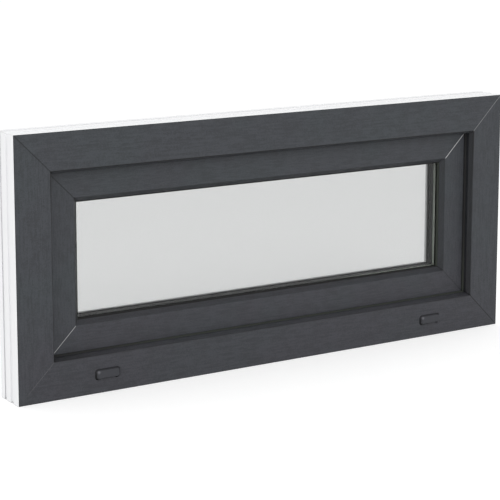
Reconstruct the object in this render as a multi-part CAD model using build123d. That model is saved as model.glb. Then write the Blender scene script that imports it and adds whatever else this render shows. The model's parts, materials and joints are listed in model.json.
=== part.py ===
"""Basement window: an outer frame and one inward tilting sash, mitred from plastic profiles.

Millimetres, +Z up. The outside face looks along -Y and X runs along the window.
The origin is on the frame's underside, at mid width and mid depth.
Sections are drawn as depth behind the outside face and inset from the frame's outer edge.
"""

import os

from build123d import *

# Overall size
width = 900.0
height = 400.0
frame_depth = 60.0
foil_thickness = 0.2

# Frame section
frame_face = 58.0
frame_body = 42.0
lip_depth = 14.0
lip_slope = 4.0
lip_slope_depth = 8.0
face_round = 1.6
edge_round = 0.6
inner_round = 1.5

# Grooves along the frame's outer edge
front_foot = 17.0
front_groove = 9.0
rear_foot = 12.0
rear_groove = 7.0
groove_depth = 1.8
hook_thickness = 0.8
hook_reach = 1.5

# Sash section
frame_gasket_gap = 4.0
lip_overlap = 8.0
sash_face = 49.0
sash_slope_inset = 7.5
sash_slope_depth = 9.0
flange_overlap = 8.0
flange_gap = 3.0
flange_thickness = 9.0
flange_round = 2.5
bead_seat = 94.0

# Glazing
pane_thickness = 4.0
pane_spacing = 16.0
pane_edge_clearance = 4.0
outer_gasket_thickness = 3.5
inner_gasket_thickness = 2.5
gasket_reveal = 1.5
seal_width = 5.0
bead_reveal = 3.0
bead_round = 1.0
bead_flat = 4.0
bead_drop = 9.0

# Seals between frame and sash
gasket_width = 7.5
gasket_nose = 1.8
flange_gasket_width = 4.0
flange_gasket_inset = 1.5

# Drain caps and slots in the bottom rail
cap_from_end = 146.0
cap_inset = 29.0
cap_length = 42.0
cap_height = 17.0
cap_round = 5.0
cap_projection = 4.5
cap_taper = 40.0
cap_wall = 1.2
slot_length = 28.0
slot_height = 5.0
slot_depth = 8.0

# Handle on the top rail of the sash
handle_inset = 66.0
rosette_length = 68.0
rosette_width = 30.0
rosette_thickness = 11.0
rosette_round = 10.0
rosette_edge = 2.5
collar_radius = 12.0
collar_height = 5.0
neck_radius = 7.5
finger_gap = 30.0
lever_length = 132.0
lever_width = 20.0
lever_thickness = 12.0
lever_edge = 3.0

# Tilt hinges on the bottom rail
hinge_from_end = 130.0
hinge_length = 60.0
knuckle_radius = 6.0
knuckle_gap = 0.5
middle_knuckle = 24.0
hinge_clearance = 1.0
leaf_thickness = 3.0
frame_leaf_height = 27.0
sash_leaf_height = 28.0
pin_radius = 3.0
pin_clearance = 0.05

# Places that follow from the sizes
lip_reach = frame_face + lip_slope
sash_front = lip_depth + frame_gasket_gap
sash_edge = lip_reach - lip_overlap
sash_face_end = sash_edge + sash_face
glazing_reach = sash_face_end + sash_slope_inset
glazing_front = sash_front + sash_slope_depth
flange_edge = frame_body - flange_overlap
flange_front = frame_depth + flange_gap
sash_back = flange_front + flange_thickness
glass_front = glazing_front + outer_gasket_thickness
glass_back = glass_front + 2 * pane_thickness + pane_spacing
glass_edge = bead_seat + pane_edge_clearance
bead_front = glass_back + inner_gasket_thickness
gasket_reach = glazing_reach + gasket_reveal
bead_reach = glazing_reach + bead_reveal
seal_inner = glass_edge + seal_width
hinge_axis_depth = sash_back + knuckle_radius
hinge_axis_inset = flange_edge - hinge_clearance - knuckle_radius

SIDE_TURNS = {"bottom": 0, "left": 90, "top": 180, "right": 270}
HANDS = {"left": -1, "right": 1}


def side_length(side):
    """Length of the frame along one side."""
    return width if side in ("bottom", "top") else height


def side_reach(side):
    """Distance from the middle of the window to one side."""
    return height / 2 if side in ("bottom", "top") else width / 2


def onto_side(shape, side):
    """Carry a shape drawn at the bottom side to another side of the window."""
    turn = Rot(0, SIDE_TURNS[side], 0)
    return Pos(0, -frame_depth / 2, height / 2) * turn * Pos(0, 0, -side_reach(side)) * shape


def section(*corners):
    """Closed section from corners given as depth, inset and corner radius."""
    points = [(depth, inset) for depth, inset, _ in corners]
    radii = [radius for _, _, radius in corners]
    return make_face(FilletPolyline(*points, radius=radii, close=True))


def region(depth_from, depth_to, inset_from, inset_to):
    """Plain rectangle of a section between two depths and two insets."""
    middle = Pos((depth_from + depth_to) / 2, (inset_from + inset_to) / 2)
    return middle * Rectangle(depth_to - depth_from, inset_to - inset_from)


def mitred_bar(profile, side):
    """One bar of a section along one side, cut at 45 degrees at both ends."""
    length = side_length(side)
    bar = extrude(Plane.YZ * profile, length / 2, both=True)
    triangle = Polyline((-length / 2, 0), (length / 2, 0), (0, length / 2), close=True)
    wedge = extrude(Plane.XZ * make_face(triangle), 2 * (frame_depth + sash_back), both=True)
    return onto_side(bar & wedge, side)


def mitred_ring(profile):
    """The four bars of a section joined into one ring."""
    bars = [mitred_bar(profile, side) for side in SIDE_TURNS]
    return bars[0] + bars[1] + bars[2] + bars[3]


def foil_section(profile, window):
    """Thin skin over the stretch of a section's outline that lies in a window."""
    return (offset(profile, foil_thickness) - profile) & window


# Profiles


def frame_section():
    """Outer frame: face and sloped lip outside, hooked grooves along the outer edge."""
    front_groove_end = front_foot + front_groove
    rear_groove_end = frame_depth - rear_foot
    rear_groove_start = rear_groove_end - rear_groove
    return section(
        (foil_thickness, 0, edge_round),
        (foil_thickness, frame_face, face_round),
        (lip_slope_depth, lip_reach, edge_round),
        (lip_depth, lip_reach, edge_round),
        (lip_depth, frame_body, 0),
        (frame_depth, frame_body, inner_round),
        (frame_depth, 0, edge_round),
        (rear_groove_end, 0, 0),
        (rear_groove_end, hook_thickness, 0),
        (rear_groove_end + hook_reach, hook_thickness, 0),
        (rear_groove_end + hook_reach, groove_depth, 0),
        (rear_groove_start, groove_depth, 0),
        (rear_groove_start, 0, 0),
        (front_groove_end, 0, 0),
        (front_groove_end, groove_depth, 0),
        (front_foot - hook_reach, groove_depth, 0),
        (front_foot - hook_reach, hook_thickness, 0),
        (front_foot, hook_thickness, 0),
        (front_foot, 0, 0),
    )


def sash_section():
    """Sash: face and sloped glazing lip outside, overlapping flange and bead seat inside."""
    return section(
        (sash_front + foil_thickness, sash_edge, edge_round),
        (sash_front + foil_thickness, sash_face_end, face_round),
        (glazing_front, glazing_reach, edge_round),
        (glazing_front, bead_seat, 0),
        (sash_back, bead_seat, 0),
        (sash_back, flange_edge, flange_round),
        (flange_front, flange_edge, edge_round),
        (flange_front, sash_edge, 0),
    )


def bead_section():
    """Glazing bead: clips into the sash seat and slopes away from the glass."""
    return section(
        (bead_front, bead_seat, 0),
        (bead_front, bead_reach, edge_round),
        (bead_front + bead_flat, bead_reach, bead_round),
        (sash_back, bead_reach - bead_drop, bead_round),
        (sash_back, bead_seat, 0),
    )


def frame_gasket_section():
    """Seal between the back of the frame's lip and the face of the sash."""
    start = lip_reach - gasket_width
    return section(
        (lip_depth, start, 0),
        (lip_depth, lip_reach - edge_round, 0),
        (lip_depth + frame_gasket_gap / 3, lip_reach + gasket_nose, edge_round),
        (sash_front, lip_reach + gasket_nose, 0),
        (sash_front, start, 0),
    )


def outer_glazing_gasket_section():
    """Seal between the sash's glazing lip and the outer pane."""
    start = glass_edge + pane_edge_clearance
    return section(
        (glazing_front, start, 0),
        (glazing_front, glazing_reach - edge_round, 0),
        (glazing_front + outer_gasket_thickness / 4, gasket_reach, edge_round),
        (glass_front, gasket_reach, 0),
        (glass_front, start, 0),
    )


# Frame

frame_profile = frame_section()
frame_foil_window = region(-1, lip_depth - edge_round, edge_round, lip_reach + 1)
frame_foil_profile = foil_section(frame_profile, frame_foil_window)
frame_bars = {side: mitred_bar(frame_profile, side) for side in SIDE_TURNS}
frame_foils = {side: mitred_bar(frame_foil_profile, side) for side in SIDE_TURNS}
frame_gasket = mitred_ring(frame_gasket_section())


def at_inset(x, depth, inset):
    """Place at a height above the frame's underside and a depth behind the outside face."""
    return Pos(x, depth - frame_depth / 2, inset)


def drain_slot(hand):
    """Slot milled through the outside wall of the bottom rail behind a drain cap."""
    x = HANDS[hand] * (width / 2 - cap_from_end)
    slot = Box(slot_length, slot_depth, slot_height)
    return at_inset(x, slot_depth / 2, cap_inset) * slot


def drain_cap(hand):
    """Hood over a drain slot, with bevelled sides and an open mouth below."""
    x = HANDS[hand] * (width / 2 - cap_from_end)
    outline = RectangleRounded(cap_length, cap_height, cap_round)
    hood = extrude(Plane.XZ * outline, cap_projection, taper=cap_taper)
    inside = offset(outline, -cap_wall)
    hood -= extrude(Plane.XZ * inside, cap_projection - cap_wall, taper=cap_taper)
    mouth = Box(slot_length, cap_projection - cap_wall, cap_height / 2)
    hood -= Pos(0, -(cap_projection - cap_wall) / 2, -cap_height / 2) * mouth
    return at_inset(x, 0, cap_inset) * hood


for hand in HANDS:
    frame_bars["bottom"] -= drain_slot(hand)
    frame_foils["bottom"] -= drain_slot(hand)

# Sash

sash_profile = sash_section()
sash_foil_window = region(
    sash_front - 1,
    glazing_front - edge_round,
    sash_edge + edge_round,
    glazing_reach + 1,
)
sash_foil_profile = foil_section(sash_profile, sash_foil_window)
flange_seal_start = flange_edge + flange_gasket_inset
flange_seal_end = flange_seal_start + flange_gasket_width
sash_gasket = mitred_ring(region(frame_depth, flange_front, flange_seal_start, flange_seal_end))

# Glazing

outer_glazing_gasket = mitred_ring(outer_glazing_gasket_section())
inner_glazing_gasket = mitred_ring(region(glass_back, bead_front, seal_inner, gasket_reach))
spacer_start = glass_front + pane_thickness
spacer_end = spacer_start + pane_spacing
edge_seal = mitred_ring(region(spacer_start, spacer_end, glass_edge, seal_inner))
spacer = mitred_ring(region(spacer_start, spacer_end, seal_inner, gasket_reach))


def pane(depth):
    """One sheet of glass with its outer face at a depth."""
    sheet = Box(width - 2 * glass_edge, pane_thickness, height - 2 * glass_edge)
    return at_inset(0, depth + pane_thickness / 2, height / 2) * sheet


# Handle

def handle_rosette():
    """Rounded base plate screwed to the inside face of the sash's top rail."""
    plate = extrude(RectangleRounded(rosette_length, rosette_width, rosette_round), rosette_thickness)
    plate = chamfer(plate.faces().sort_by(Axis.Z)[-1].edges(), rosette_edge)
    return at_inset(0, sash_back, height - handle_inset) * Rot(-90, 0, 0) * plate


def handle_lever():
    """Lever with a round neck on the rosette and an arm that lies along the rail when locked."""
    arm = extrude(SlotOverall(lever_length, lever_width), lever_thickness)
    arm = fillet(arm.faces().filter_by(Axis.Z).edges(), lever_edge)
    arm = Pos((lever_length - lever_width) / 2, 0, finger_gap) * arm
    lever = extrude(Circle(collar_radius), collar_height)
    lever += extrude(Circle(neck_radius), finger_gap + lever_thickness / 2)
    lever += arm
    base = sash_back + rosette_thickness
    return at_inset(0, base, height - handle_inset) * Rot(-90, 0, 0) * lever


# Hinges

def along_x(profile, start, end):
    """Extrude a section of the bottom side between two places along X."""
    return Pos(start, 0, 0) * extrude(Plane.YZ * profile, end - start)


def knuckle_profile():
    """Round barrel about the hinge axis."""
    return Pos(hinge_axis_depth, hinge_axis_inset) * Circle(knuckle_radius)


def pin_bore():
    """Bore for the pin through all knuckles."""
    bore = Pos(hinge_axis_depth, hinge_axis_inset) * Circle(pin_radius + pin_clearance)
    return along_x(bore, -hinge_length, hinge_length)


def onto_hinge(shape, hand):
    """Carry a hinge piece to its place at one end of the bottom rail."""
    return Pos(HANDS[hand] * (width / 2 - hinge_from_end), -frame_depth / 2, 0) * shape


def frame_leaf():
    """Bearing screwed to the frame: a plate with the middle knuckle on a short arm."""
    top = hinge_axis_inset + knuckle_radius
    plate = region(frame_depth, frame_depth + leaf_thickness, top - frame_leaf_height, top)
    bottom = hinge_axis_inset - knuckle_radius
    arm = region(frame_depth, hinge_axis_depth, bottom, top) + knuckle_profile()
    leaf = along_x(plate, -hinge_length / 2, hinge_length / 2)
    leaf += along_x(arm, -middle_knuckle / 2, middle_knuckle / 2)
    return leaf - pin_bore()


def sash_leaf():
    """Leaf screwed to the sash, with a knuckle at each end."""
    plate_start = flange_edge
    plate = region(sash_back, sash_back + leaf_thickness, plate_start, plate_start + sash_leaf_height)
    tongue = region(sash_back, sash_back + leaf_thickness, hinge_axis_inset, plate_start)
    leaf = along_x(plate, -hinge_length / 2, hinge_length / 2)
    inner = middle_knuckle / 2 + knuckle_gap
    end = tongue + knuckle_profile()
    leaf += along_x(end, inner, hinge_length / 2)
    leaf += along_x(end, -hinge_length / 2, -inner)
    return leaf - pin_bore()


def hinge_pin():
    """Plain pin through the three knuckles."""
    pin = Pos(hinge_axis_depth, hinge_axis_inset) * Circle(pin_radius)
    return along_x(pin, -hinge_length / 2, hinge_length / 2)


# Sub-parts

parts = {
    "frame_gasket": frame_gasket,
    "sash_gasket": sash_gasket,
    "glazing_gasket_outer": outer_glazing_gasket,
    "glazing_gasket_inner": inner_glazing_gasket,
    "glass_outer": pane(glass_front),
    "glass_inner": pane(glass_back - pane_thickness),
    "spacer": spacer,
    "edge_seal": edge_seal,
    "handle_rosette": handle_rosette(),
    "handle_lever": handle_lever(),
}

for side in SIDE_TURNS:
    parts[f"frame_{side}"] = frame_bars[side]
    parts[f"frame_foil_{side}"] = frame_foils[side]
    parts[f"sash_{side}"] = mitred_bar(sash_profile, side)
    parts[f"sash_foil_{side}"] = mitred_bar(sash_foil_profile, side)
    parts[f"glazing_bead_{side}"] = mitred_bar(bead_section(), side)

for hand in HANDS:
    parts[f"drain_cap_{hand}"] = drain_cap(hand)
    parts[f"hinge_frame_leaf_{hand}"] = onto_hinge(frame_leaf(), hand)
    parts[f"hinge_sash_leaf_{hand}"] = onto_hinge(sash_leaf(), hand)
    parts[f"hinge_pin_{hand}"] = onto_hinge(hinge_pin(), hand)

os.makedirs("parts", exist_ok=True)
for name, shape in parts.items():
    export_step(shape, f"parts/{name}.step")
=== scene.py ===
"""Looks of the basement window: foil, plastic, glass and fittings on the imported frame, in metres."""

import json
import math
from collections import namedtuple

import bpy
from mathutils import Matrix, Vector


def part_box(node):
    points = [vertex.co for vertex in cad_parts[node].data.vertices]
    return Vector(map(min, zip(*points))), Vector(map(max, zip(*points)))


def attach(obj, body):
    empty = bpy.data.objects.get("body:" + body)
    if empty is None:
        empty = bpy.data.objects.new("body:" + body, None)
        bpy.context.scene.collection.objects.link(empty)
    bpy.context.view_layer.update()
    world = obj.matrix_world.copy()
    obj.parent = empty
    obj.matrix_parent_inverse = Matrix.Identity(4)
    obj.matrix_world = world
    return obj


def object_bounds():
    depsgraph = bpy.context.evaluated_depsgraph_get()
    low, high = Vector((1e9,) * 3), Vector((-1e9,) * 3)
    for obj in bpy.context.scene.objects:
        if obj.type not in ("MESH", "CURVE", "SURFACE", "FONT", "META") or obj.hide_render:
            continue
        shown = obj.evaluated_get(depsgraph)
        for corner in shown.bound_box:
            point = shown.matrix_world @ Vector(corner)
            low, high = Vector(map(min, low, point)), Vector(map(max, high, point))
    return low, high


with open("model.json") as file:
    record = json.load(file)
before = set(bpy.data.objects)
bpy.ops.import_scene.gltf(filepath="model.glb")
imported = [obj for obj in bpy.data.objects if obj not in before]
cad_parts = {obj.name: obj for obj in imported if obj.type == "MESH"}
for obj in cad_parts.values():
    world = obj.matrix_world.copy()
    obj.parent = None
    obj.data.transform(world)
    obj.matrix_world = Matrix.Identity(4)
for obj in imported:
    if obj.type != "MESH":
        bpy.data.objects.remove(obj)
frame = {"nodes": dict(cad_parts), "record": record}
cad_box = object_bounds()

# Sizes that the looks need, from the frame
MM = 0.001
LOW, HIGH = (Vector(corner) for corner in cad_box)
MIDDLE = (LOW + HIGH) / 2
HALF_WIDTH = HIGH.x
HEIGHT = HIGH.z
# Insets, from the window's edge, at which the frame's foil and the sash's foil end on their inner lips
FRAME_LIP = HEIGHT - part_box("frame_foil_top")[0][2]
SASH_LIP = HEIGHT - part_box("sash_foil_top")[0][2]
PANE_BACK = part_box("glass_outer")[1][1]
FRAME_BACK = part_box("frame_top")[1][1]
SASH_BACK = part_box("sash_top")[1][1]
HANDS = ("left", "right")

# Sockets of the Mix node, where several share a name
MIX_FACTOR = 0
MIX_NUMBERS = (2, 3)
MIX_COLOURS = (6, 7)
MIXED_COLOUR = 2


class Nodes:
    """One node tree, with short ways to add and link its nodes."""

    def __init__(self, tree):
        self.tree = tree

    def add(self, kind, inputs, output=0, **settings):
        """Add a node, fill its inputs with values or sockets, and return one output."""
        node = self.tree.nodes.new(kind)
        for key, value in settings.items():
            setattr(node, key, value)
        for key, value in inputs.items():
            self.fill(node.inputs[key], value)
        return node.outputs[output]

    def fill(self, socket, value):
        """Link a socket, or set its value."""
        if isinstance(value, bpy.types.NodeSocket):
            self.tree.links.new(value, socket)
        else:
            socket.default_value = value

    def math(self, operation, *values):
        """One Math node."""
        return self.add("ShaderNodeMath", dict(enumerate(values)), operation=operation)

    def product(self, first, *others):
        """Product of values."""
        for other in others:
            first = self.math("MULTIPLY", first, other)
        return first

    def weighted_sum(self, *terms):
        """Sum of values, each times its weight."""
        (value, weight), *others = terms
        total = self.math("MULTIPLY", value, weight)
        for value, weight in others:
            total = self.math("MULTIPLY_ADD", value, weight, total)
        return total

    def rest(self, value):
        """What is left of 1 after a value."""
        return self.math("SUBTRACT", 1.0, value)

    def ramp(self, value, low, high, to_low=0.0, to_high=1.0):
        """Smooth step of a value between two limits."""
        inputs = {"Value": value, "From Min": low, "From Max": high, "To Min": to_low, "To Max": to_high}
        return self.add("ShaderNodeMapRange", inputs, interpolation_type="SMOOTHSTEP")

    def fall(self, value, low, high, start=1.0):
        """Smooth fall to zero between two limits."""
        return self.ramp(value, low, high, start, 0.0)

    def band(self, value, rise, fall, height=1.0):
        """Mask that rises between one pair of limits and falls between the next."""
        return self.product(self.ramp(value, *rise), self.fall(value, *fall, height))

    def mix(self, factor, first, second):
        """Mix of two colours."""
        inputs = {MIX_FACTOR: factor, MIX_COLOURS[0]: first, MIX_COLOURS[1]: second}
        return self.add("ShaderNodeMix", inputs, output=MIXED_COLOUR, data_type="RGBA")

    def choose(self, factor, first, second):
        """Mix of two numbers."""
        inputs = {MIX_FACTOR: factor, MIX_NUMBERS[0]: first, MIX_NUMBERS[1]: second}
        return self.add("ShaderNodeMix", inputs)

    def scale(self, colour, share):
        """Colour times a number."""
        inputs = {"Vector": colour, "Scale": share}
        return self.add("ShaderNodeVectorMath", inputs, operation="SCALE")

    def place(self):
        """Point on the surface in the frame's metres."""
        return self.add("ShaderNodeTexCoord", {}, output="Object")

    def axes(self):
        """X, Y and Z of that point."""
        return self.add("ShaderNodeSeparateXYZ", {"Vector": self.place()}).node.outputs

    def noise(self, waves, detail, stretch=(1, 1, 1)):
        """Noise between 0 and 1, with a number of waves per metre."""
        place = self.add("ShaderNodeMapping", {"Vector": self.place(), "Scale": stretch})
        return self.add("ShaderNodeTexNoise", {"Vector": place, "Scale": waves, "Detail": detail})

    def bump(self, height, distance, strength, under=None):
        """Bump with a height between 0 and 1 and a depth in metres, on top of another if there is one."""
        inputs = {"Height": height, "Distance": distance, "Strength": strength}
        if under is not None:
            inputs["Normal"] = under
        return self.add("ShaderNodeBump", inputs)


class Shader(Nodes):
    """One material and its surface shader."""

    def __init__(self, name):
        self.material = bpy.data.materials.new(name)
        self.material.use_nodes = True
        super().__init__(self.material.node_tree)
        self.surface = self.tree.nodes["Principled BSDF"]

    def set(self, **values):
        """Fill inputs of the surface shader; an underscore stands for a space."""
        for key, value in values.items():
            self.fill(self.surface.inputs[key.replace("_", " ")], value)


def grey(value, tint=(0, 0, 0)):
    """Opaque colour from a linear grey and a small tint."""
    return tuple(value + part for part in tint) + (1.0,)


# Limits between which a ramp on noise runs; noise mostly keeps near a half
NOISE_WIDE = (0.2, 0.8)
NOISE_HALF = (0.25, 0.75)
NOISE_MIDDLE = (0.3, 0.7)
NOISE_CORE = (0.4, 0.6)

# Mitre seams: grooves along the 45 degree lines from the frame's corners, and the reach of their narrow
# mark and of their painted shade
PALE_SEAM_REACH = 1.0 * MM
SEAM_SHADE_REACH = 2.2 * MM

Spot = namedtuple("Spot", "x z side level rising")


def find_spot(shader):
    """Spot of a surface point on the window's face.

    It holds x and z, the insets from the nearer upright side and from the nearer level side, and 1 where
    the seams rise to the right.
    """
    x, _, z = shader.axes()
    centred = shader.math("SUBTRACT", z, HEIGHT / 2)
    side = shader.math("SUBTRACT", HALF_WIDTH, shader.math("ABSOLUTE", x))
    level = shader.math("SUBTRACT", HEIGHT / 2, shader.math("ABSOLUTE", centred))
    rising = shader.math("GREATER_THAN", shader.product(x, centred), 0.0)
    return Spot(x, z, side, level, rising)


def seam_mask(shader, spot, reach):
    """Mask of the mitre seams, with their reach on either side."""
    off = shader.math("ABSOLUTE", shader.math("SUBTRACT", spot.side, spot.level))
    return shader.fall(off, 0.0, reach)


# Foil: its two hues, and its noises as waves per metre and detail
FOIL_COOL = (0.0401, 0.0455, 0.0511, 1.0)
FOIL_WARM = (0.0424, 0.0426, 0.0506, 1.0)
GRAIN = (1400, 5)
STREAK = (420, 3)
PEBBLE = (2600, 2)
MOTTLE = (60, 5)
SPECKLE = (650, 2)
PATCH = (9, 2)
GRAIN_STRETCH = {"level": (0.09, 1, 1), "upright": (1, 1, 0.09)}
# Shares of streak, mottle and speckle in the tone, and of grain and pebble in the relief
TONE_SHARES = (0.34, 0.26, 0.4)
RELIEF_SHARES = (0.6, 0.4)
FOIL_CONTRAST = (0.8, 1.2)
FOIL_ROUGHNESS = (0.5, 0.62)
FOIL_SPECULAR = 0.35
# Depth and strength of the relief and of the seam's groove
FOIL_RELIEF = (0.08 * MM, 0.5)
FOIL_GROOVE = (0.25 * MM, 0.6)
# The warm hue fills this share at the bottom, up to these heights, and this share of patches
WARM_BOTTOM = 0.5
WARM_HEIGHTS = (90 * MM, 190 * MM)
WARM_PATCHES = 0.4

# Insets of the two sloping lips, and the share of the colour that each loses to painted shade
SLOPES = ((FRAME_LIP - 4 * MM, FRAME_LIP + 1.8 * MM), (SASH_LIP - 6.8 * MM, SASH_LIP + 2 * MM))
SLOPE_BLUR = 1 * MM
SLOPE_PAINTED_SHADE = {"level": (0.25, 0.32), "upright": (0.6, 0.38)}
# Painted shade, deeper on the frame's bottom lip towards its left end, up to these heights
SHADED_LEFT_END = (LOW.x + 50 * MM, LOW.x + 190 * MM)
SHADED_LEFT_END_HEIGHTS = (FRAME_LIP + 3.8 * MM, FRAME_LIP + 9.8 * MM)
LEFT_END_PAINTED_SHADE = 0.4
# Painted shade along the frame's outer arris
ARRIS = (0.6 * MM, 1.8 * MM)
ARRIS_PAINTED_SHADE = 0.4
# Painted shade line along the frame's inner lip, deeper higher up: insets where it rises and falls, and
# its depth by height
LIP_SHADE_LINE = ((FRAME_LIP - 5.6 * MM, FRAME_LIP - 4.4 * MM), (FRAME_LIP - 3.8 * MM, FRAME_LIP - 2.8 * MM))
LIP_SHADE_HEIGHTS = (250 * MM, 330 * MM)
LIP_SHADE_DEPTHS = (0.3, 0.85)

# Colours of the painted highlight on the seams that rise to the right, and of the painted shade on the
# others
SEAM_HIGHLIGHT_COLOUR = grey(0.8)
SEAM_SHADE_COLOUR = grey(0.002)
# Insets between which a seam's look on the frame gives way to its look on the sash
SEAM_STEP = (FRAME_LIP - 3.2 * MM, FRAME_LIP - 1.2 * MM)
# Insets between which the left seam's painted highlight starts
SEAM_START = (8 * MM, 30 * MM)
# x between which a seam's look on the left gives way to its look on the right
CENTRE = (-100 * MM, 100 * MM)
# Strengths of a seam's painted highlight on the left and on the right
HIGHLIGHT_ON_FRAME = (0.07, 0.27)
HIGHLIGHT_ON_SASH = (0.55, 0.9)
# Strength of a seam's painted shade on the left, and on the right on frame and sash
SEAM_SHADE_LEFT = 0.65
SEAM_SHADE_RIGHT = (0.8, 0.35)


def foil_hue(shader, spot):
    """Cool anthracite, warmer along the bottom and in patches."""
    bottom = shader.fall(spot.z, *WARM_HEIGHTS, WARM_BOTTOM)
    patches = shader.ramp(shader.noise(*PATCH), *NOISE_CORE, 0.0, WARM_PATCHES)
    return shader.mix(shader.math("ADD", bottom, patches), FOIL_COOL, FOIL_WARM)


def slope_masks(shader, inset):
    """Masks of the two sloping lips, from the inset of the bar's own side."""
    half = SLOPE_BLUR / 2
    return [
        shader.band(inset, (start - half, start + half), (end, end + SLOPE_BLUR)) for start, end in SLOPES
    ]


def painted_foil_shade(shader, spot, inset, slopes, losses):
    """Share of the colour left after the painted shade on the sloping lips, the bottom lip's left end,
    the arris and the inner lip.
    """
    # Painted shade on the frame's bottom lip towards its left end
    left_end_shade = shader.product(
        shader.fall(spot.x, *SHADED_LEFT_END, LEFT_END_PAINTED_SHADE), shader.fall(spot.z, *SHADED_LEFT_END_HEIGHTS)
    )
    # Painted shade on the sloping lips
    shaded_share = shader.weighted_sum(*zip(slopes, losses), (slopes[0], left_end_shade))
    # Painted shade along the frame's outer arris
    arris = shader.ramp(inset, *ARRIS, ARRIS_PAINTED_SHADE, 1.0)
    # Painted shade line along the frame's inner lip, deeper higher up
    depth = shader.ramp(spot.z, *LIP_SHADE_HEIGHTS, *LIP_SHADE_DEPTHS)
    lip_shade = shader.band(inset, *LIP_SHADE_LINE, depth)
    return shader.product(shader.rest(shaded_share), arris, shader.rest(lip_shade))


def painted_seam_highlight(shader, spot, seam, slopes):
    """Strength of the painted highlight on the seams, which stops at the sloping lips."""
    flat = shader.rest(shader.math("ADD", *slopes))
    start = shader.ramp(spot.side, *SEAM_START, shader.ramp(spot.x, *CENTRE), 1.0)
    on_frame = shader.product(start, shader.ramp(spot.x, *CENTRE, *HIGHLIGHT_ON_FRAME))
    on_sash = shader.ramp(spot.x, *CENTRE, *HIGHLIGHT_ON_SASH)
    return shader.product(seam, flat, shader.ramp(spot.side, *SEAM_STEP, on_frame, on_sash))


def painted_seam_shade(shader, spot):
    """Strength of the painted shade on the seams."""
    on_right = shader.ramp(spot.side, *SEAM_STEP, *SEAM_SHADE_RIGHT)
    strength = shader.ramp(spot.x, *CENTRE, SEAM_SHADE_LEFT, on_right)
    return shader.product(seam_mask(shader, spot, SEAM_SHADE_REACH), strength)


def foil_material(direction):
    """Matt anthracite foil with streaks and a fine embossed grain that run along the bar, painted shade
    on its lips and outer arris, and a painted highlight or painted shade on its mitre seams.
    """
    shader = Shader(f"foil_{direction}")
    spot = find_spot(shader)
    inset = spot.level if direction == "level" else spot.side
    slopes = slope_masks(shader, inset)
    # Painted shade on the lips and along the outer arris
    painted_shade = painted_foil_shade(shader, spot, inset, slopes, SLOPE_PAINTED_SHADE[direction])
    stretch = GRAIN_STRETCH[direction]
    mottle = shader.noise(*MOTTLE)
    textures = (shader.noise(*STREAK, stretch), mottle, shader.noise(*SPECKLE))
    tone = shader.weighted_sum(*zip(textures, TONE_SHARES))
    contrast = shader.ramp(tone, *NOISE_CORE, *FOIL_CONTRAST)
    colour = shader.scale(foil_hue(shader, spot), shader.product(painted_shade, contrast))
    seam = seam_mask(shader, spot, PALE_SEAM_REACH)
    seam_highlight = painted_seam_highlight(shader, spot, seam, slopes)
    # Painted highlight on the seams that rise to the right, painted shade on the others
    strength = shader.choose(spot.rising, painted_seam_shade(shader, spot), seam_highlight)
    seam_painted_colour = shader.mix(spot.rising, SEAM_SHADE_COLOUR, SEAM_HIGHLIGHT_COLOUR)
    shader.set(Base_Color=shader.mix(strength, colour, seam_painted_colour))
    shader.set(Roughness=shader.ramp(mottle, *NOISE_WIDE, *FOIL_ROUGHNESS))
    shader.set(Specular_IOR_Level=FOIL_SPECULAR)
    reliefs = (shader.noise(*GRAIN, stretch), shader.noise(*PEBBLE))
    emboss = shader.bump(shader.weighted_sum(*zip(reliefs, RELIEF_SHARES)), *FOIL_RELIEF)
    shader.set(Normal=shader.bump(shader.rest(seam), *FOIL_GROOVE, emboss))
    return shader.material


WHITE_TONES = (grey(0.885, (0.0, 0.004, 0.018)), grey(0.905, (0.0, 0.004, 0.014)))
WHITE_SEAM = grey(0.55)
WHITE_SEAM_STRENGTH = 0.5
WHITE_ROUGHNESS = (0.28, 0.36)
WHITE_CLOUD = (18, 3)
WHITE_RIPPLE = (900, 2)
# Depth and strength of the ripple and of the seam's groove
WHITE_RIPPLE_RELIEF = (0.02 * MM, 0.25)
WHITE_GROOVE = (0.15 * MM, 0.5)


def white_plastic_material():
    """Smooth white profile plastic with a faint satin waviness and hairline seams."""
    shader = Shader("white_plastic")
    cloud = shader.noise(*WHITE_CLOUD)
    seam = seam_mask(shader, find_spot(shader), PALE_SEAM_REACH)
    colour = shader.mix(cloud, *WHITE_TONES)
    shader.set(Base_Color=shader.mix(shader.product(seam, WHITE_SEAM_STRENGTH), colour, WHITE_SEAM))
    shader.set(Roughness=shader.ramp(cloud, *NOISE_MIDDLE, *WHITE_ROUGHNESS))
    ripple = shader.bump(shader.noise(*WHITE_RIPPLE), *WHITE_RIPPLE_RELIEF)
    shader.set(Normal=shader.bump(shader.rest(seam), *WHITE_GROOVE, ripple))
    return shader.material


MOULD_TONE = (60, 4)
MOULD_TEXTURE_DETAIL = 3
MOULD_ROUGHNESS_SPREAD = 0.05
MOULD_STRENGTH = 0.5


def moulded_shader(name, tones, roughness, waves, depth):
    """Shader and colour of a moulded or cast surface, with a fine texture and a slight change of tone."""
    shader = Shader(name)
    tone = shader.noise(*MOULD_TONE)
    texture = shader.noise(waves, MOULD_TEXTURE_DETAIL)
    smooth, rough = roughness - MOULD_ROUGHNESS_SPREAD, roughness + MOULD_ROUGHNESS_SPREAD
    colour = shader.mix(tone, *tones)
    shader.set(Base_Color=colour, Roughness=shader.ramp(tone, *NOISE_HALF, smooth, rough))
    shader.set(Normal=shader.bump(texture, depth, MOULD_STRENGTH))
    return shader, colour


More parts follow.
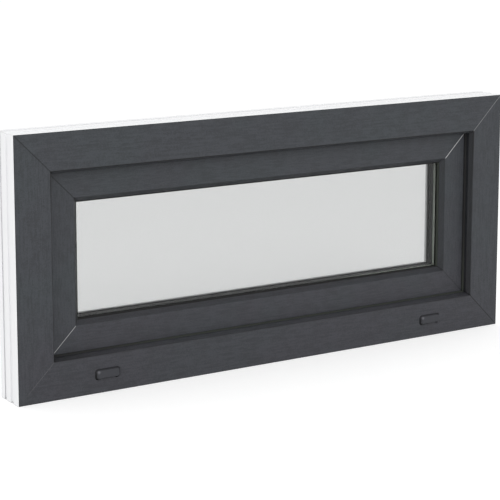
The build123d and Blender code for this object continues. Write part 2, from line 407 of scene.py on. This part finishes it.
# Drain cap: colours of its face, of the painted shade on the lower and upper part of its foot, and of the
# painted highlight on its corner
CAP_FACE = (0.049, 0.0505, 0.0575, 1.0)
CAP_LOW_FOOT_SHADE = (0.001, 0.001, 0.0015, 1.0)
CAP_HIGH_FOOT_SHADE = (0.013, 0.013, 0.016, 1.0)
CAP_HIGHLIGHT = (0.13, 0.13, 0.145, 1.0)
CAP_SPECKLE = (1600, 3)
CAP_RELIEF = (0.03 * MM, 0.5)
CAP_ROUGHNESS = (0.34, 0.44)
# Heights around the cap's middle and depths behind its face between which its painted shade changes
CAP_RISE = (-2 * MM, 6 * MM)
CAP_DEPTHS = (0.8 * MM, 3.2 * MM)
# The painted highlight on the upper corner of the left end: its insets from the cap's left end and top,
# and its inner and outer radius
HIGHLIGHT_INSETS = (4.5 * MM, 4 * MM)
HIGHLIGHT_RADII = (0.5 * MM, 4 * MM)
# Specular level of caps, seals and spacer, which are duller than the foil
DULL_SPECULAR = 0.2


def cap_highlight_mask(shader):
    """Mask of the painted highlight on the upper corner of each cap's left end."""
    spots = []
    for hand in HANDS:
        low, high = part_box(f"drain_cap_{hand}")
        corner = (low[0] + HIGHLIGHT_INSETS[0], low[1], high[2] - HIGHLIGHT_INSETS[1])
        inputs = {0: shader.place(), 1: corner}
        away = shader.add("ShaderNodeVectorMath", inputs, output="Value", operation="DISTANCE")
        spots.append(shader.fall(away, *HIGHLIGHT_RADII))
    return shader.math("ADD", *spots)


def cap_material():
    """Moulded cap in the foil's grey, with painted shade towards its foot that is lighter on the upper
    half.
    """
    shader = Shader("cap_plastic")
    _, y, z = shader.axes()
    low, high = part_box("drain_cap_left")
    middle = (low[2] + high[2]) / 2
    upper = shader.ramp(z, *(middle + rise for rise in CAP_RISE))
    foot_shade = shader.ramp(y, *(low[1] + depth for depth in CAP_DEPTHS))
    speckle = shader.noise(*CAP_SPECKLE)
    # Painted shade on the foot, deeper on its lower half
    edge = shader.mix(upper, CAP_LOW_FOOT_SHADE, CAP_HIGH_FOOT_SHADE)
    # Painted highlight on the upper corner of the left end
    face = shader.mix(cap_highlight_mask(shader), CAP_FACE, CAP_HIGHLIGHT)
    shader.set(Base_Color=shader.mix(foot_shade, face, edge))
    shader.set(Roughness=shader.ramp(speckle, *NOISE_MIDDLE, *CAP_ROUGHNESS))
    shader.set(Normal=shader.bump(speckle, *CAP_RELIEF), Specular_IOR_Level=DULL_SPECULAR)
    return shader.material


GLASS_TINT = (0.768, 0.773, 0.772, 1.0)
# Below real glass, because the photograph's dark reveal shows almost no reflection
GLASS_IOR = 1.28
GLASS_WAVES = (6, 2)
GLASS_RELIEF = (0.02 * MM, 0.1)


def glass_material():
    """Clear float glass, faintly green."""
    shader = Shader("glass")
    waviness = shader.noise(*GLASS_WAVES)
    shader.set(Base_Color=GLASS_TINT, Roughness=0.0, IOR=GLASS_IOR, Transmission_Weight=1.0)
    shader.set(Normal=shader.bump(waviness, *GLASS_RELIEF))
    return shader.material


# Dust on the seals: insets where it starts beside the glass, and where that in the frame's joint ends
DUST_BESIDE_GLASS = (SASH_LIP - 20 * MM, SASH_LIP - 5 * MM)
DUST_IN_JOINT = (FRAME_LIP + 8 * MM, FRAME_LIP + 18 * MM)
DUST_SETTLED = 0.8
# Heights over which it thins out beside the joint, and x over which it sets in from the left, leaving
# painted shade at the left end
DUST_HEIGHTS = (60 * MM, 180 * MM)
DUST_LEFT_SHADE = (LOW.x + 50 * MM, LOW.x + 300 * MM)
DUST_LEFT_SHADE_SHARE = 0.1


def dust_mask(shader):
    """Dust on the uprights beside the glass, low in the side joints and along the bottom, thinned towards
    the left end as painted shade.
    """
    spot = find_spot(shader)
    upright = shader.math("GREATER_THAN", spot.level, spot.side)
    beside = shader.product(upright, shader.ramp(spot.side, *DUST_BESIDE_GLASS))
    climbing = shader.product(
        shader.fall(spot.side, *DUST_IN_JOINT), shader.fall(spot.z, *DUST_HEIGHTS, DUST_SETTLED)
    )
    low = shader.math("MAXIMUM", climbing, shader.fall(spot.z, *DUST_IN_JOINT, DUST_SETTLED))
    # Less dust towards the left end, as painted shade there
    settled = shader.product(low, shader.ramp(spot.x, *DUST_LEFT_SHADE, DUST_LEFT_SHADE_SHARE, 1.0))
    return shader.math("MAXIMUM", beside, settled)


def rubber_material(name, tones, dusty):
    """Matt weather seal with a dusty bloom."""
    shader, clean = moulded_shader(name, tones, roughness=0.8, waves=1500, depth=0.03 * MM)
    shader.set(Base_Color=shader.mix(dust_mask(shader), clean, dusty), Specular_IOR_Level=DULL_SPECULAR)
    return shader.material


def white_coat_material():
    """White powder coat with its fine orange peel."""
    tones = (grey(0.78), grey(0.83))
    shader, _ = moulded_shader("white_coat", tones, roughness=0.32, waves=700, depth=0.04 * MM)
    shader.set(Coat_Weight=0.3, Coat_Roughness=0.15)
    return shader.material


def pin_steel_material():
    """Bright turned steel."""
    tones = (grey(0.5), grey(0.62))
    shader, _ = moulded_shader("pin_steel", tones, roughness=0.3, waves=1800, depth=0.01 * MM)
    shader.set(Metallic=1.0)
    return shader.material


SPACER_EDGE_HIGHLIGHT = (0.4, 0.44, 0.38, 1.0)
SPACER_TONES = ((0.005, 0.008, 0.0065, 1.0), (0.01, 0.013, 0.011, 1.0))
SPACER_SPECKLE = (900, 3)
SPACER_RELIEF = (0.02 * MM, 0.4)
SPACER_ROUGHNESS = (0.45, 0.6)
# Depths at which the pale metal edge beside the outer pane ends, and x over which its painted highlight
# sets in towards the right
EDGE_HIGHLIGHT_DEPTHS = (PANE_BACK + 4 * MM, PANE_BACK + 6 * MM)
EDGE_HIGHLIGHT_START = (50 * MM, 300 * MM)


def spacer_material():
    """Spacer of the double glazing: a pale metal edge beside the outer pane, painted as a highlight that
    shows only towards the right, then dark plastic.
    """
    shader = Shader("spacer")
    x, y, _ = shader.axes()
    # Painted highlight on the metal edge, fading out towards the left
    edge = shader.product(shader.ramp(x, *EDGE_HIGHLIGHT_START), shader.fall(y, *EDGE_HIGHLIGHT_DEPTHS))
    speckle = shader.noise(*SPACER_SPECKLE)
    shader.set(Base_Color=shader.mix(edge, shader.mix(speckle, *SPACER_TONES), SPACER_EDGE_HIGHLIGHT))
    shader.set(Roughness=shader.ramp(speckle, *NOISE_MIDDLE, *SPACER_ROUGHNESS))
    shader.set(Normal=shader.bump(speckle, *SPACER_RELIEF), Specular_IOR_Level=DULL_SPECULAR)
    return shader.material


white_coat = white_coat_material()
FINISHES = {
    "white_plastic": white_plastic_material(),
    "gasket": rubber_material("gasket", (grey(0.013), grey(0.023)), dusty=(0.036, 0.041, 0.034, 1.0)),
    "sealant": rubber_material("sealant", (grey(0.012), grey(0.02)), dusty=grey(0.02)),
    "glass": glass_material(),
    "handle_metal": white_coat,
    "hinge_metal": white_coat,
    "pin_steel": pin_steel_material(),
    "cap_plastic": cap_material(),
    "spacer": spacer_material(),
}
FOILS = {direction: foil_material(direction) for direction in GRAIN_STRETCH}


def finish_of(node, slot):
    """Material of a CAD node; foil grain runs along the bar that carries it."""
    if slot != "foil":
        return FINISHES[slot]
    return FOILS["level" if node.endswith(("top", "bottom")) else "upright"]


# Screws of the hinges, on the hidden inside
SCREW_RADIUS = 3.4 * MM
SCREW_HEIGHT = 1.5 * MM
SCREW_STEPS = 32
# Rings of the domed head: reach and height, as shares of the screw's radius and height
HEAD_RINGS = ((1.0, 0.0), (1.0, 0.35), (0.93, 0.7), (0.75, 0.92), (0.5, 1.0))
# Rings of the cross recess, its rim and its floor: arm, half width and height, as such shares
CROSS_RINGS = ((0.46, 0.1, 1.0), (0.36, 0.07, 0.2))
# Turn of the first cross, and of each next one against the one before, in radians
FIRST_TURN = 0.6
NEXT_TURN = 0.9
# Screw places on the leaves: across from the hinge's middle, and from the leaf's outer edge
LEAF_THICKNESS = 3 * MM
FRAME_LEAF_ACROSS = (-20 * MM, 20 * MM)
FRAME_LEAF_EDGE = 7 * MM
SASH_LEAF_ACROSS = (-20 * MM, 0, 20 * MM)
SASH_LEAF_EDGE = 9 * MM


def cross_reach(angle, arm, half_width):
    """Distance from the middle of a cross to its outline."""
    shallow, steep = sorted((abs(math.cos(angle)), abs(math.sin(angle))))
    to_end = arm / steep
    to_side = half_width / max(shallow, half_width)
    to_notch = half_width * math.sqrt(2)
    return max(min(to_end, to_side), to_notch)


def screw_mesh():
    """Low domed screw head with a cross recess; its axis is +Z and it stands on z = 0."""
    angles = [2 * math.pi * step / SCREW_STEPS for step in range(SCREW_STEPS)]
    rings = [([reach] * SCREW_STEPS, level) for reach, level in HEAD_RINGS]
    for arm, half_width, level in CROSS_RINGS:
        rings.append(([cross_reach(angle, arm, half_width) for angle in angles], level))
    vertices, faces = [], []
    for reaches, level in rings:
        for angle, reach in zip(angles, reaches):
            along = SCREW_RADIUS * reach
            vertices.append((along * math.cos(angle), along * math.sin(angle), SCREW_HEIGHT * level))
    for low in range(0, len(vertices) - SCREW_STEPS, SCREW_STEPS):
        high = low + SCREW_STEPS
        for step in range(SCREW_STEPS):
            after = (step + 1) % SCREW_STEPS
            faces.append((low + step, low + after, high + after, high + step))
    faces.append(tuple(range(len(vertices) - SCREW_STEPS, len(vertices))))
    return vertices, faces


def add_screws(name, places, slot):
    """Screw heads that stand on faces which look along +Y, joined into one piece."""
    vertices, faces = [], []
    head, head_faces = screw_mesh()
    for index, place in enumerate(places):
        spin = Matrix.Rotation(FIRST_TURN + NEXT_TURN * index, 4, "Z")
        turn = Matrix.Translation(place) @ Matrix.Rotation(-math.pi / 2, 4, "X") @ spin
        first = len(vertices)
        vertices += [turn @ Vector(corner) for corner in head]
        faces += [tuple(first + corner for corner in face) for face in head_faces]
    mesh = bpy.data.meshes.new(name)
    mesh.from_pydata(vertices, [], faces)
    mesh.update()
    mesh.materials.append(FINISHES[slot])
    screws = bpy.data.objects.new(name, mesh)
    bpy.context.collection.objects.link(screws)
    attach(screws, "root")


def add_hinge_screws(hand):
    """Screws of both leaves of one hinge."""
    low, high = (Vector(corner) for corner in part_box(f"hinge_frame_leaf_{hand}"))
    middle = (low.x + high.x) / 2
    face = FRAME_BACK + LEAF_THICKNESS
    places = [(middle + across, face, low.z + FRAME_LEAF_EDGE) for across in FRAME_LEAF_ACROSS]
    low, high = (Vector(corner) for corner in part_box(f"hinge_sash_leaf_{hand}"))
    face = SASH_BACK + LEAF_THICKNESS
    places += [(middle + across, face, high.z - SASH_LEAF_EDGE) for across in SASH_LEAF_ACROSS]
    add_screws(f"hinge_screws_{hand}", places, "pin_steel")


for hand in HANDS:
    add_hinge_screws(hand)

for part in frame["record"]["subparts"]:
    node_object = frame["nodes"][part["node"]]
    node_object.data.materials.clear()
    node_object.data.materials.append(finish_of(part["node"], part["material_slot"]))

# Studio: the dome's strength as a light and as the backdrop, and the floor's reach, place and look
DOME_STRENGTH = 0.82
BACKDROP_STRENGTH = 1.0
FLOOR_REACH = 30.0
FLOOR_DROP = 0.2 * MM
FLOOR_GREY = grey(0.82)
FLOOR_GLOW = 0.36
# Place from the window's middle, size and power of each lamp
LAMPS = {
    "key": ((-0.8, -3.9, 3.0), 2.0, 56),
    "fill": ((-3.0, -0.7, 0.8), 2.2, 11),
}


def shows_backdrop(nodes):
    """1 on rays that show the backdrop: from the camera, a reflection or through glass."""
    rays = nodes.add("ShaderNodeLightPath", {}).node.outputs
    shown = rays["Is Camera Ray"]
    for name in ("Is Glossy Ray", "Is Transmission Ray"):
        shown = nodes.math("MAXIMUM", shown, rays[name])
    return shown


def make_world():
    """Even dome that lights softly and shows white behind the object."""
    world = bpy.data.worlds.new("studio")
    bpy.context.scene.world = world
    world.use_nodes = True
    nodes = Nodes(world.node_tree)
    backdrop = nodes.tree.nodes["Background"]
    nodes.fill(backdrop.inputs["Color"], grey(1.0))
    strength = nodes.ramp(shows_backdrop(nodes), 0.0, 1.0, DOME_STRENGTH, BACKDROP_STRENGTH)
    nodes.fill(backdrop.inputs["Strength"], strength)


def make_floor():
    """Pale floor that looks white and keeps the object's shadow."""
    mesh = bpy.data.meshes.new("floor")
    signs = ((-1, -1), (1, -1), (1, 1), (-1, 1))
    corners = [(x * FLOOR_REACH, y * FLOOR_REACH, -FLOOR_DROP) for x, y in signs]
    mesh.from_pydata(corners, [], [(0, 1, 2, 3)])
    floor = bpy.data.objects.new("floor", mesh)
    bpy.context.collection.objects.link(floor)
    shader = Shader("floor")
    glow = shader.product(shows_backdrop(shader), FLOOR_GLOW)
    shader.set(Base_Color=FLOOR_GREY, Roughness=0.9, Specular_IOR_Level=0.0)
    shader.set(Emission_Color=grey(1.0), Emission_Strength=glow)
    mesh.materials.append(shader.material)


def add_lamp(name, offset, size, power):
    """Soft square lamp that points at the window's middle."""
    data = bpy.data.lights.new(name, "AREA")
    data.size = size
    data.energy = power
    lamp = bpy.data.objects.new(name, data)
    lamp.location = MIDDLE + Vector(offset)
    lamp.rotation_euler = (MIDDLE - lamp.location).to_track_quat("-Z", "Y").to_euler()
    bpy.context.collection.objects.link(lamp)


make_world()
make_floor()
for name, (offset, size, power) in LAMPS.items():
    add_lamp(name, offset, size, power)

# Camera, where the photograph's lines put it, with its sensor and lens in millimetres
CAMERA_PLACE = Vector((-1.4417, -2.2355, 0.7501))
CAMERA_YAW = math.radians(32.202)
CAMERA_PITCH = math.radians(9.149)
CAMERA_ROLL = math.radians(0.03)
CAMERA_SENSOR = 36
CAMERA_LENS = 123.04
CAMERA_SHIFT = -0.18


def make_camera():
    """Camera with a small vertical shift that keeps the window's uprights nearly upright."""
    data = bpy.data.cameras.new("camera")
    data.sensor_width = CAMERA_SENSOR
    data.lens = CAMERA_LENS
    data.shift_y = CAMERA_SHIFT
    camera = bpy.data.objects.new("camera", data)
    turn = Matrix.Rotation(-CAMERA_YAW, 4, "Z") @ Matrix.Rotation(math.pi / 2 - CAMERA_PITCH, 4, "X")
    camera.matrix_world = Matrix.Translation(CAMERA_PLACE) @ turn @ Matrix.Rotation(CAMERA_ROLL, 4, "Z")
    bpy.context.collection.objects.link(camera)
    bpy.context.scene.camera = camera


make_camera()
bpy.context.scene.view_settings.view_transform = "Standard"
